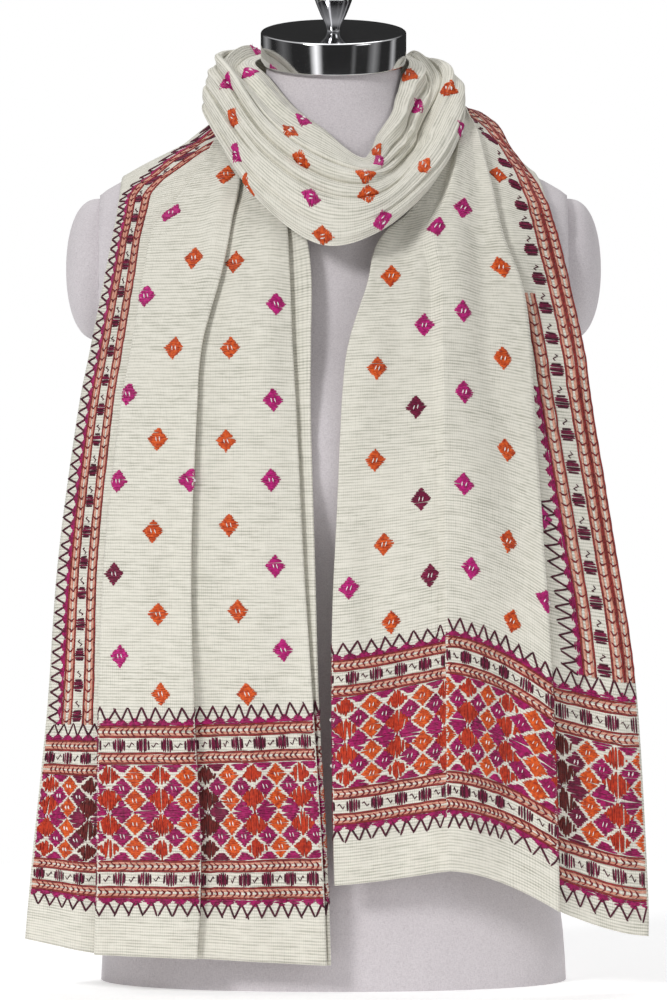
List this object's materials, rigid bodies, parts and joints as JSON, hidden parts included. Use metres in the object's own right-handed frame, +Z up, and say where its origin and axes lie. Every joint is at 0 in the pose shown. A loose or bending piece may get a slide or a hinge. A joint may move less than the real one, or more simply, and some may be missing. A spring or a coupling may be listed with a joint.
{
  "type": "phulkari shawl on dress form",
  "caption": "Cream phulkari shawl wound once round the neck of a limbless linen dress form, its embroidered ends hanging in front.",
  "frame": {"origin": "middle of the dress form's flat bottom, on the surface that it stands on", "axes": "+Z up, -Y towards the front of the form, +X to the right of someone who faces the front"},
  "size_m": [0.4696, 0.2495, 0.7684],
  "materials": {
    "cream_cloth": "ribbed cotton weave with silk floss embroidery",
    "form_linen": "plain linen cover, stretched smooth",
    "chrome": "polished"
  },
  "bodies": {
    "root": {"fall_left": "cream_cloth", "fall_right": "cream_cloth", "cowl": "cream_cloth", "nape_outer": "cream_cloth", "nape_inner": "cream_cloth", "form_torso": "form_linen", "arm_cap_left": "form_linen", "arm_cap_right": "form_linen", "neck_cap": "chrome", "finial": "chrome"}
  },
  "joints": []
}
